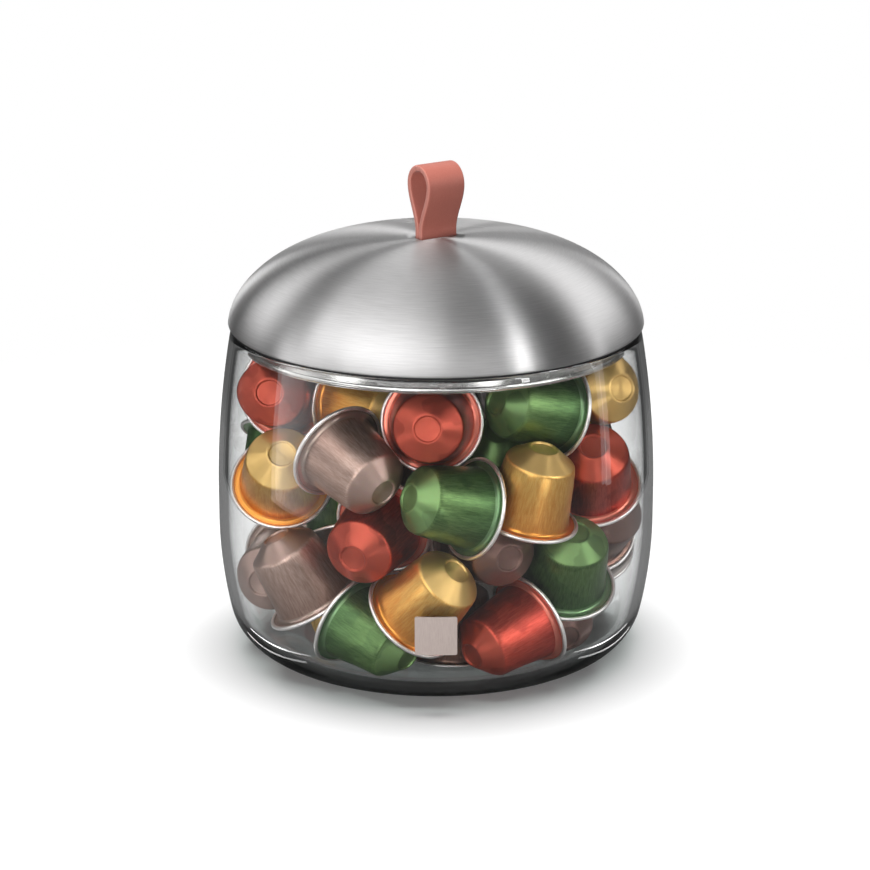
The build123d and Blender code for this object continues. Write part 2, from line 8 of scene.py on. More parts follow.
import logging
import math
from dataclasses import dataclass, field, replace
from enum import Enum
from typing import Iterable, Optional, Sequence, Union

import bmesh
import bpy
from bpy.types import Material, Mesh, MeshPolygon, Node, Object
from mathutils import Matrix, Vector


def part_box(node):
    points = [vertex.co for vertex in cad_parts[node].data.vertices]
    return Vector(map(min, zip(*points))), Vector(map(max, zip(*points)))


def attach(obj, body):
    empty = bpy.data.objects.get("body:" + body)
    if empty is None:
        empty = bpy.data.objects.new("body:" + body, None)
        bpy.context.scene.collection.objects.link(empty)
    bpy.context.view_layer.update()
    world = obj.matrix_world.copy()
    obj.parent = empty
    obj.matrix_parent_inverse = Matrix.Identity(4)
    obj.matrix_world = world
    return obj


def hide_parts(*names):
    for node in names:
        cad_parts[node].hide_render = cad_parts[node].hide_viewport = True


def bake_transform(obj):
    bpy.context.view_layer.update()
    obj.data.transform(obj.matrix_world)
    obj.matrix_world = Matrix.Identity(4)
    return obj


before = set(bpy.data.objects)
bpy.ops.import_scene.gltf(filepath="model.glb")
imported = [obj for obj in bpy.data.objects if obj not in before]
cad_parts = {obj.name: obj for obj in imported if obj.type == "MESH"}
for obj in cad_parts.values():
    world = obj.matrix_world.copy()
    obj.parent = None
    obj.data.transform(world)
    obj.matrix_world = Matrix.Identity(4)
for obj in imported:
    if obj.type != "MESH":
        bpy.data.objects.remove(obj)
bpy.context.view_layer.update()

logging.basicConfig(level=logging.INFO, format="%(message)s")
log = logging.getLogger("dispenser")

Colour = tuple[float, float, float, float]
Output = tuple[Node, Union[str, int]]
Pair = tuple[float, float]
Triple = tuple[float, float, float]
Line = tuple[Pair, ...]
Profile = list[Pair]

MM = 0.001
WHITE: Colour = (1.0, 1.0, 1.0, 1.0)
QUARTER_TURN = 0.25
ON_AXIS = 1e-9
NEARLY_ZERO = 1e-6


class CapsuleColour(Enum):
    """Colours of capsule in the jar, named as in the CAD node names."""

    RED = "red"
    GOLD = "gold"
    GREEN = "green"
    TAUPE = "taupe"
    BROWN = "brown"


def linear(hex_colour: str) -> Colour:
    """Turn an sRGB hex colour into Blender's linear colour.

    Args:
        hex_colour: Six hex digits, such as "c85a46".

    Returns:
        Red, green, blue and alpha.
    """
    parts = [int(hex_colour[i:i + 2], 16) / 255 for i in (0, 2, 4)]
    turned = [c / 12.92 if c <= 0.04045 else ((c + 0.055) / 1.055) ** 2.4 for c in parts]
    return (turned[0], turned[1], turned[2], 1.0)


class NodeKit:
    """Node tree with a short way to add and link nodes."""

    def __init__(self, tree: bpy.types.NodeTree) -> None:
        """Work on a tree."""
        self.tree = tree

    def feed(self, value: object, socket: bpy.types.NodeSocket) -> None:
        """Link an output to an input socket, or set the socket to a constant.

        Args:
            value: Output as (node, name or number), or the constant.
            socket: Input that gets it.
        """
        if isinstance(value, tuple) and isinstance(value[0], Node):
            self.tree.links.new(value[0].outputs[value[1]], socket)
        else:
            socket.default_value = value

    def add(self, kind: str, links: Optional[dict] = None, **settings: object) -> Node:
        """Add a node, set its properties and sockets, and link its inputs.

        Args:
            kind: Blender's node type.
            links: Input name or number to (node, output name or number).
            settings: Property or input names with their values. A double underscore is a space.

        Returns:
            The new node.
        """
        node = self.tree.nodes.new(kind)
        for key, value in settings.items():
            if hasattr(node, key) and key not in node.inputs:
                setattr(node, key, value)
            else:
                node.inputs[key.replace("__", " ")].default_value = value
        for key, output in (links or {}).items():
            self.feed(output, node.inputs[key])
        return node

    def math(self, operation: str, first: object, second: object = None,
             clamp: bool = False) -> Output:
        """Add a maths node.

        Args:
            operation: Blender's name of the operation.
            first: Number or output.
            second: Number or output. None leaves the second input alone.
            clamp: Whether the result stays between 0 and 1.

        Returns:
            The result.
        """
        node = self.add("ShaderNodeMath", operation=operation, use_clamp=clamp)
        self.feed(first, node.inputs[0])
        if second is not None:
            self.feed(second, node.inputs[1])
        return (node, 0)

    def mix(self, factor: object, first: object, second: object, blend: str = "MIX") -> Output:
        """Mix two colours.

        Args:
            factor: Number or output that drives the mix.
            first: Linear colour or output.
            second: Linear colour or output.
            blend: Blender's blend type.

        Returns:
            The mixed colour.
        """
        node = self.add("ShaderNodeMixRGB", blend_type=blend)
        for socket, value in (("Fac", factor), ("Color1", first), ("Color2", second)):
            self.feed(value, node.inputs[socket])
        return (node, "Color")

    def span(self, source: Output, start: Pair = (0.0, 1.0), end: Pair = (0.0, 1.0),
             smooth: bool = False) -> Output:
        """Map one range of a value to another.

        Args:
            source: Value to map.
            start: Its range.
            end: Range of the result.
            smooth: Whether the ends of the range are eased.

        Returns:
            The mapped value.
        """
        node = self.add("ShaderNodeMapRange", {"Value": source},
                        interpolation_type="SMOOTHSTEP" if smooth else "LINEAR",
                        From__Min=start[0], From__Max=start[1], To__Min=end[0], To__Max=end[1])
        return (node, "Result")

    def coords(self, kind: str = "Object") -> Output:
        """Return a kind of texture coordinates."""
        return (self.add("ShaderNodeTexCoord"), kind)

    def split(self, vector: Output) -> Node:
        """Return a node with the X, Y and Z of a vector."""
        return self.add("ShaderNodeSeparateXYZ", {"Vector": vector})

    def noise(self, per_mm: float, detail: float = 2.0, roughness: float = 0.5,
              stretch: Triple = (1.0, 1.0, 1.0)) -> Node:
        """Noise in the object's own coordinates, stretched along axes.

        Args:
            per_mm: Noise cells per millimetre.
            detail: Octaves of the noise.
            roughness: Strength of the finer octaves.
            stretch: Factors on x, y and z. A small one gives long streaks along that axis.

        Returns:
            The noise node.
        """
        mapping = self.add("ShaderNodeMapping", {"Vector": self.coords()}, Scale=stretch)
        return self.add("ShaderNodeTexNoise", {"Vector": (mapping, "Vector")},
                        Scale=per_mm / MM, Detail=detail, Roughness=roughness)


class MaterialKit(NodeKit):
    """Node tree of one material, with its Principled shader."""

    def __init__(self, name: str, **settings: object) -> None:
        """Start a material.

        Args:
            name: Name of the material.
            settings: Constants of the shader's inputs. A double underscore is a space.
        """
        self.material = bpy.data.materials.new(name)
        self.material.use_nodes = True
        super().__init__(self.material.node_tree)
        self.tree.nodes.clear()
        self.out = self.add("ShaderNodeOutputMaterial")
        self.shader = self.add("ShaderNodeBsdfPrincipled", **settings)
        self.show((self.shader, "BSDF"))

    def show(self, surface: Output) -> None:
        """Make an output the material's surface."""
        self.feed(surface, self.out.inputs["Surface"])

    def blend(self, factor: Output, first: Output, second: Output) -> None:
        """Show the first surface where a factor is 0, and the second where it is 1."""
        node = self.add("ShaderNodeMixShader", {"Fac": factor, 1: first, 2: second})
        self.show((node, "Shader"))

    def clear(self, colour: Colour = WHITE) -> Output:
        """Return a surface that lets rays straight through."""
        return (self.add("ShaderNodeBsdfTransparent", Color=colour), "BSDF")

    def tint(self, colour: Output) -> None:
        """Link a colour to the shader."""
        self.feed(colour, self.shader.inputs["Base Color"])

    def rough(self, pattern: Output, low: float, high: float) -> None:
        """Spread the shader's roughness over a range by a 0 to 1 pattern."""
        value = low if low == high else self.span(pattern, end=(low, high))
        self.feed(value, self.shader.inputs["Roughness"])

    def bump(self, pattern: Output, height_mm: float) -> None:
        """Bump the shader's normal by a height pattern of a real depth in millimetres."""
        node = self.add("ShaderNodeBump", {"Height": pattern}, Strength=1.0,
                        Distance=height_mm * MM)
        self.feed((node, "Normal"), self.shader.inputs["Normal"])

    def turned(self) -> None:
        """Run the shader's tangent round the object's own Z axis."""
        tangent = self.add("ShaderNodeTangent", direction_type="RADIAL", axis="Z")
        self.feed((tangent, "Tangent"), self.shader.inputs["Tangent"])


@dataclass(frozen=True)
class ClearGlass:
    """Blown soda glass: clear, smooth and faintly grey where it is thick."""

    name: str = "clear_glass_blown"
    ior: float = 1.48
    colour: str = "f8f9f9"
    shade: str = "f1f4f3"

    def material(self) -> Material:
        """Let lamp light through the glass to what stands behind it.

        Returns:
            The glass.
        """
        kit = MaterialKit(self.name, Base__Color=linear(self.colour), Roughness=0.0, IOR=self.ior,
                          Transmission__Weight=1.0)
        path = kit.add("ShaderNodeLightPath")
        kit.blend((path, "Is Shadow Ray"), (kit.shader, "BSDF"), kit.clear(linear(self.shade)))
        return kit.material


@dataclass(frozen=True)
class BrushedSteel:
    """Stainless sheet brushed in circles round the lid's axis."""

    name: str = "stainless_steel_circular_brushed"
    dark: str = "bcbbbb"
    light: str = "e2e1e1"
    roughness: float = 0.43
    roughness_swing: float = 0.07
    anisotropy: float = 0.95
    line_mm: float = 0.3
    line_share: float = 0.75
    line_sweep: float = 0.002
    line_depth_mm: float = 0.01
    patches_per_mm: float = 0.028

    def material(self) -> Material:
        """Let fine rings change gloss and height, so that highlights run to the crown.

        Returns:
            The steel.
        """
        kit = MaterialKit(self.name, Metallic=1.0, Anisotropic=self.anisotropy,
                          Anisotropic__Rotation=QUARTER_TURN)
        kit.turned()
        split = kit.split(kit.coords())
        x, y = (split, "X"), (split, "Y")
        square = kit.math("ADD", kit.math("MULTIPLY", x, x), kit.math("MULTIPLY", y, y))
        sweep = kit.math("MULTIPLY", kit.math("ARCTAN2", y, x), self.line_sweep)
        place = kit.add("ShaderNodeCombineXYZ", {"X": kit.math("SQRT", square), "Y": sweep,
                                                 "Z": (split, "Z")})
        rings = kit.add("ShaderNodeTexNoise", {"Vector": (place, "Vector")},
                        Scale=1 / (self.line_mm * MM), Detail=3.0, Roughness=0.6)
        patches = kit.noise(self.patches_per_mm, detail=3.0)
        both = kit.math("ADD", kit.math("MULTIPLY", (rings, "Fac"), self.line_share),
                        kit.math("MULTIPLY", (patches, "Fac"), 1 - self.line_share))
        kit.rough(both, self.roughness - self.roughness_swing,
                  self.roughness + self.roughness_swing)
        kit.tint(kit.mix((rings, "Fac"), linear(self.dark), linear(self.light)))
        kit.bump((rings, "Fac"), self.line_depth_mm)
        return kit.material


@dataclass(frozen=True)
class EvenFinish:
    """Finish in which one fine pattern varies the tone, the gloss and the height a little.

    Tones are sRGB hex colours. Two equal tones or roughnesses give a constant.
    """

    name: str
    tones: tuple[str, str]
    roughness: Pair
    per_mm: float
    metallic: float = 1.0
    detail: float = 3.0
    stretch: Triple = (1.0, 1.0, 1.0)
    depth_mm: float = 0.004

    def material(self) -> Material:
        """Build the finish.

        Returns:
            The material.
        """
        kit = MaterialKit(self.name, Metallic=self.metallic)
        pattern = (kit.noise(self.per_mm, self.detail, stretch=self.stretch), "Fac")
        dark, light = (linear(tone) for tone in self.tones)
        kit.tint(dark if dark == light else kit.mix(pattern, dark, light))
        kit.rough(pattern, *self.roughness)
        if self.depth_mm:
            kit.bump(pattern, self.depth_mm)
        return kit.material


SATIN_STEEL = EvenFinish("stainless_steel_satin_pressed", ("c9c7c5", "c9c7c5"), (0.18, 0.32),
                         per_mm=0.3, stretch=(1.0, 1.0, 6.0))
WELDED_STEEL = replace(SATIN_STEEL, name="stainless_steel_spot_welded")
BADGE_STEEL = EvenFinish("steel_badge_side_brushed", ("a3958f", "b8aaa4"), (0.5, 0.5),
                         per_mm=2.6, metallic=0.3, detail=2.0, stretch=(1.0, 1.0, 0.02))
SILICONE = EvenFinish("silicone_black_moulded", ("0b0b0c", "1a1a1b"), (0.42, 0.6),
                      per_mm=0.22, metallic=0.0, depth_mm=0.0)
BADGE_FOAM = replace(SILICONE, name="adhesive_foam_grey")
FOIL = EvenFinish("aluminium_foil_lacquered", ("c9c5c2", "c9c5c2"), (0.3, 0.43),
                  per_mm=0.42, depth_mm=0.03)
RIM = EvenFinish("aluminium_rim_curled", ("f4efed", "f4efed"), (0.33, 0.46),
                 per_mm=0.42, depth_mm=0.005)


@dataclass(frozen=True)
class DyedLeather:
    """Terracotta strap leather, dyed through."""

    name: str = "leather_terracotta_dyed"
    low: str = "a75a4d"
    high: str = "b5695b"
    grain: str = "bc7264"
    grain_share: float = 0.6

    def material(self) -> Material:
        """Give the leather fine grain, a few pores and a soft sheen.

        Returns:
            The leather.
        """
        kit = MaterialKit(self.name, Roughness=0.58, Sheen__Weight=0.25, Sheen__Roughness=0.4,
                          Specular__IOR__Level=0.35)
        grain = kit.noise(per_mm=1.9, detail=4.0, roughness=0.6)
        clouds = kit.noise(per_mm=0.13)
        dyed = kit.mix((clouds, "Fac"), linear(self.low), linear(self.high))
        kit.tint(kit.mix((grain, "Fac"), dyed, linear(self.grain)))
        pores = kit.add("ShaderNodeTexVoronoi", {"Vector": kit.coords()}, Scale=1.5 / MM)
        height = kit.math("ADD", kit.math("MULTIPLY", (grain, "Fac"), self.grain_share),
                          kit.math("MULTIPLY", (pores, "Distance"), 1 - self.grain_share))
        kit.bump(height, height_mm=0.05)
        return kit.material


@dataclass(frozen=True)
class CapsulePaint:
    """Colours of one kind of capsule, all sRGB hex, and how strong its dark blotches are."""

    cup: str
    cup_low: str
    cone: str
    flange: str
    blotch: Optional[str] = None
    blotch_share: float = 0.0


PAINTS: dict[CapsuleColour, CapsulePaint] = {
    CapsuleColour.RED: CapsulePaint("bd4c3c", "ad4034", "c05644", "dd7c6a", "862e24", 0.44),
    CapsuleColour.GOLD: CapsulePaint("e4b264", "de9444", "ecc47c", "e89a44"),
    CapsuleColour.GREEN: CapsulePaint("688550", "4e6e42", "82a268", "74946a", "34502e", 0.33),
    CapsuleColour.TAUPE: CapsulePaint("ba9e92", "9e8074", "b89c92", "ac958a"),
    CapsuleColour.BROWN: CapsulePaint("765449", "63473d", "80625a", "72564c"),
}


@dataclass(frozen=True)
class AnodisedAluminium:
    """Thin anodised aluminium of one capsule colour, drawn along the cup and spun on the cone."""

    colour: CapsuleColour
    metallic: float = 0.84
    cup_mm: Pair = (1.0, 22.0)
    streak_share: float = 0.32
    cone_share: float = 0.12
    flange_share: float = 0.1

    def start(self, process: str, **settings: object) -> MaterialKit:
        """Start the material of a surface, named after the process that made it."""
        return MaterialKit(f"aluminium_anodised_{self.colour.value}_{process}",
                           Metallic=self.metallic, **settings)

    def cup(self) -> Material:
        """Draw fine lines along the cup, and tint it deeper near the flange.

        Returns:
            The cup's finish.
        """
        paint = PAINTS[self.colour]
        kit = self.start("drawn", Anisotropic=0.5)
        kit.turned()
        height = kit.span((kit.split(kit.coords()), "Z"),
                          start=(self.cup_mm[0] * MM, self.cup_mm[1] * MM))
        tone = kit.mix(height, linear(paint.cup_low), linear(paint.cup))
        lines = kit.noise(per_mm=1.9, detail=3.0, roughness=0.7, stretch=(1.0, 1.0, 0.015))
        contrast = kit.span((lines, "Fac"), start=(0.36, 0.64))
        streaked = kit.mix(self.streak_share, tone, contrast, "SOFT_LIGHT")
        kit.tint(self.with_blotches(kit, streaked))
        kit.rough((lines, "Fac"), low=0.28, high=0.46)
        kit.bump((lines, "Fac"), height_mm=0.007)
        return kit.material

    def cone(self) -> Material:
        """Spin the cone, so that light runs to its tip in sectors.

        Returns:
            The cone's finish.
        """
        kit = self.start("spun", Anisotropic=0.6, Anisotropic__Rotation=QUARTER_TURN)
        kit.turned()
        fine = kit.noise(per_mm=0.9)
        tone = kit.mix(self.cone_share, linear(PAINTS[self.colour].cone), (fine, "Color"),
                       "SOFT_LIGHT")
        kit.tint(self.with_blotches(kit, tone))
        kit.rough((fine, "Fac"), low=0.38, high=0.5)
        return kit.material

    def flange(self) -> Material:
        """Make the flange glossier than the cup.

        Returns:
            The flange's finish.
        """
        kit = self.start("flange")
        fine = kit.noise(per_mm=0.5)
        kit.tint(kit.mix(self.flange_share, linear(PAINTS[self.colour].flange), (fine, "Color"),
                         "SOFT_LIGHT"))
        kit.rough((fine, "Fac"), low=0.25, high=0.36)
        return kit.material

    def with_blotches(self, kit: NodeKit, tone: Output) -> Output:
        """Lay soft darker blotches over a tone, for the colours that have them.

        Args:
            kit: Node tree to add to.
            tone: Colour under the blotches.

        Returns:
            The colour with its blotches.
        """
        paint = PAINTS[self.colour]
        if paint.blotch is None:
            return tone
        cells = kit.noise(per_mm=0.095, detail=1.5, roughness=0.4)
        strength = kit.span((cells, "Fac"), start=(0.53, 0.56), end=(0.0, paint.blotch_share))
        return kit.mix(strength, tone, linear(paint.blotch))


def seen_inside(kit: NodeKit, path: Node, crossings: float = 2.5) -> Output:
    """Tell rays that left something inside the jar from those that only met its glass.

    Args:
        kit: Node tree to add to.
        path: Its Light Path node.
        crossings: Glass faces that only a ray from the inside has more of behind it.

    Returns:
        1 for a ray from the inside, and 0 for others.
    """
    return kit.math("GREATER_THAN", (path, "Transmission Depth"), crossings)


@dataclass(frozen=True)
class SeamlessPaper:
    """White studio paper, matte, which thins out into the white world between two radii in metres.

    Its mirror image is painted darker, a painted shade: grey where the capsules in the jar mirror
    it, and darker grey in the glass and the lid, so the glass stays clear.
    """

    fade: Pair
    white: str = "fbfbfb"
    # Grey tones of the painted shade on the paper's mirror image.
    metal_mirror_shade: str = "9c9c9c"
    glass_mirror_shade: str = "707070"

    def material(self) -> Material:
        """Build the paper.

        Returns:
            The material.
        """
        kit = MaterialKit("paper_white_seamless", Roughness=0.9, Specular__IOR__Level=0.0)
        path = kit.add("ShaderNodeLightPath")
        # Painted shade: mirrors see the paper grey instead of white.
        mirrored = kit.math("MINIMUM", (path, "Glossy Depth"), 1.0)
        glass_mirror_shade = kit.math("SUBTRACT", mirrored, seen_inside(kit, path), clamp=True)
        metal_mirror_shade = kit.mix(mirrored, linear(self.white), linear(self.metal_mirror_shade))
        kit.tint(kit.mix(glass_mirror_shade, metal_mirror_shade, linear(self.glass_mirror_shade)))
        length = kit.add("ShaderNodeVectorMath", {0: kit.coords()}, operation="LENGTH")
        far = kit.span((length, "Value"), start=self.fade, smooth=True)
        kit.blend(far, (kit.shader, "BSDF"), kit.clear())
        return kit.material


def show(thing: Object) -> Object:
    """Link an object to the scene and return it."""
    bpy.context.scene.collection.objects.link(thing)
    return thing


def mesh_object(name: str, points: Iterable[Sequence[float]], faces: Sequence[Sequence[int]],
                materials: Sequence[Material], indices: Optional[Sequence[int]] = None,
                smooth: bool = True) -> Object:
    """Make an object from points in millimetres.

    Args:
        name: Name of the object and its mesh.
        points: Corner points in millimetres.
        faces: Corner numbers of each face.
        materials: Materials in slot order.
        indices: Material slot of each face.
        smooth: Whether faces are shaded smooth.

    Returns:
        The new object, linked to the scene.
    """
    mesh = bpy.data.meshes.new(name)
    mesh.from_pydata([[c * MM for c in p] for p in points], [], faces)
    for material in materials:
        mesh.materials.append(material)
    if indices is not None:
        mesh.polygons.foreach_set("material_index", indices)
    mesh.polygons.foreach_set("use_smooth", [smooth] * len(mesh.polygons))
    if len(faces) > 1:
        shell = bmesh.new()
        shell.from_mesh(mesh)
        bmesh.ops.recalc_face_normals(shell, faces=shell.faces)
        shell.to_mesh(mesh)
        shell.free()
    mesh.validate()
    mesh.update()
    return show(bpy.data.objects.new(name, mesh))


def sheet(name: str, half_x: float, half_y: float, material: Material) -> Object:
    """Make a flat rectangle, from half its sides in millimetres."""
    corners = [(-half_x, -half_y, 0), (half_x, -half_y, 0), (half_x, half_y, 0),
               (-half_x, half_y, 0)]
    return mesh_object(name, corners, [(0, 1, 2, 3)], [material], smooth=False)


def sharpen(piece: Object, angle: float) -> None:
    """Keep edges sharper than an angle in degrees crisp under smooth shading."""
    piece.data.set_sharp_from_angle(angle=math.radians(angle))


def dress(node: str, material: Material) -> Object:
    """Give a CAD node's surface a material.

    Args:
        node: Name of the node.
        material: Its new material.

    Returns:
        The node's object.
    """
    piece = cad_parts[node]
    for slot in piece.material_slots:
        slot.material = material
    return piece


def lathe(profile: Profile, segments: int, closed: bool = False) -> tuple[list, list, list]:
    """Turn a profile of (radius, height) about the Z axis.

    Args:
        profile: Points from one end to the other. A radius of zero gives one point on the axis.
        segments: Steps round the axis.
        closed: Whether the last ring joins the first.

    Returns:
        Points, faces, and the profile step that each face belongs to.
    """
    points: list[Triple] = []
    rows: list[list[int]] = []
    for radius, height in profile:
        count = segments if radius > ON_AXIS else 1
        start = len(points)
        for k in range(count):
            a = 2 * math.pi * k / segments
            points.append((radius * math.cos(a), radius * math.sin(a), height))
        rows.append(list(range(start, start + count)) * (segments if count == 1 else 1))
    faces: list[list[int]] = []
    steps: list[int] = []
    spans = len(profile) if closed else len(profile) - 1
    for i in range(spans):
        low, high = rows[i], rows[(i + 1) % len(profile)]
        for k in range(segments):
            n = (k + 1) % segments
            corners = [low[k], low[n], high[n], high[k]]
            face = [c for j, c in enumerate(corners) if c not in corners[:j]]
            if len(face) > 2:
                faces.append(face)
                steps.append(i)
    return points, faces, steps


def arc(centre: Pair, radius: float, start: float, end: float, steps: int) -> Profile:
    """Points on an arc, with angles in degrees from level."""
    angles = [math.radians(start + (end - start) * k / steps) for k in range(steps + 1)]
    return [(centre[0] + radius * math.cos(a), centre[1] + radius * math.sin(a)) for a in angles]


def rounded(corners: Profile, radii: Sequence[float], steps: int = 4) -> Profile:
    """Closed profile with each corner rounded.

    Args:
        corners: Corner points in order round the profile.
        radii: Rounding of each corner. Zero leaves it sharp.
        steps: Steps on each rounding.

    Returns:
        The rounded closed profile.
    """
    out: Profile = []
    for i, (corner, radius) in enumerate(zip(corners, radii)):
        here = Vector(corner)
        if radius <= 0:
            out.append(tuple(here))
            continue
        back = (Vector(corners[i - 1]) - here).normalized()
        on = (Vector(corners[(i + 1) % len(corners)]) - here).normalized()
        for k in range(steps + 1):
            t = k / steps
            out.append(tuple(here + back * radius * (1 - t) ** 2 + on * radius * t ** 2))
    return out


@dataclass
class GlassJar:
    """Barrel shaped glass jar. The sizes are those of the CAD model."""

    belly_r: float = 81.0
    belly_low: float = 50.0
    belly_top: float = 60.0
    mouth_r: float = 75.5
    height: float = 123.2
    wall: float = 3.4
    floor: float = 4.5
    side_arc: float = 155.0
    corner_arc: float = 20.0
    hollow_r: float = 50.0
    hollow_depth: float = 1.0
    segments: int = 192
    side_steps: int = 14
    shoulder_steps: int = 22
    rim_steps: int = 10
    hollow_steps: int = 8

    def wall_profile(self, inset: float, base: float) -> Profile:
        """One face of the wall, from the foot up to where the rounded rim starts.

        Args:
            inset: Distance from the outside of the wall.
            base: Height of the face's foot.

        Returns:
            Points on its corner, side and shoulder arcs.
        """
        corner, side = self.corner_arc - inset, self.side_arc - inset
        side_x, side_z = self.belly_r - self.side_arc, self.belly_low
        reach = math.sqrt((side - corner) ** 2 - (side_z - base - corner) ** 2)
        x, z = side_x + reach, base + corner
        join = math.degrees(math.atan2(z - side_z, x - side_x))
        rise = self.height - self.wall / 2 - self.belly_top
        drop = self.belly_r - self.mouth_r
        shoulder = (rise ** 2 + drop ** 2) / (2 * drop)
        top = math.degrees(math.asin(rise / shoulder))
        return (arc((x, z), corner, -90, join, self.side_steps)
                + arc((side_x, side_z), side, join, 0, self.side_steps)[1:]
                + arc((self.belly_r - shoulder, self.belly_top), shoulder - inset, 0, top,
                      self.shoulder_steps))

    def profile(self) -> Profile:
        """Go from the foot's middle up the outside, over the rim and down the inside.

        Returns:
            The profile.
        """
        outer = self.wall_profile(0, 0)
        inner = self.wall_profile(self.wall, self.floor)
        middle = ((outer[-1][0] + inner[-1][0]) / 2, (outer[-1][1] + inner[-1][1]) / 2)
        lean = math.degrees(math.atan2(outer[-1][1] - middle[1], outer[-1][0] - middle[0]))
        rim = arc(middle, self.wall / 2, lean, lean + 180, self.rim_steps)[1:-1]
        hollow = []
        for k in range(self.hollow_steps + 1):
            r = self.hollow_r * k / self.hollow_steps
            hollow.append((r, self.hollow_depth * (1 - (r / self.hollow_r) ** 2)))
        return hollow + outer + rim + inner[::-1] + [(0.0, self.floor)]

    def build(self) -> list[Object]:
        """Make the jar, which stands for the CAD node.

        Returns:
            The jar.
        """
        points, faces, _ = lathe(self.profile(), self.segments)
        piece = mesh_object("jar_of_glass", points, faces, [ClearGlass().material()])
        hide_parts("glass_jar")
        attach(piece, "jar")
        return [piece]


@dataclass
class Badge:
    """Blank square badge on the front of the glass. The CAD nodes keep their shape."""

    def build(self) -> list[Object]:
        """Dress the badge and its pad."""
        return [dress("badge_plate", BADGE_STEEL.material()),
                dress("badge_pad", BADGE_FOAM.material())]


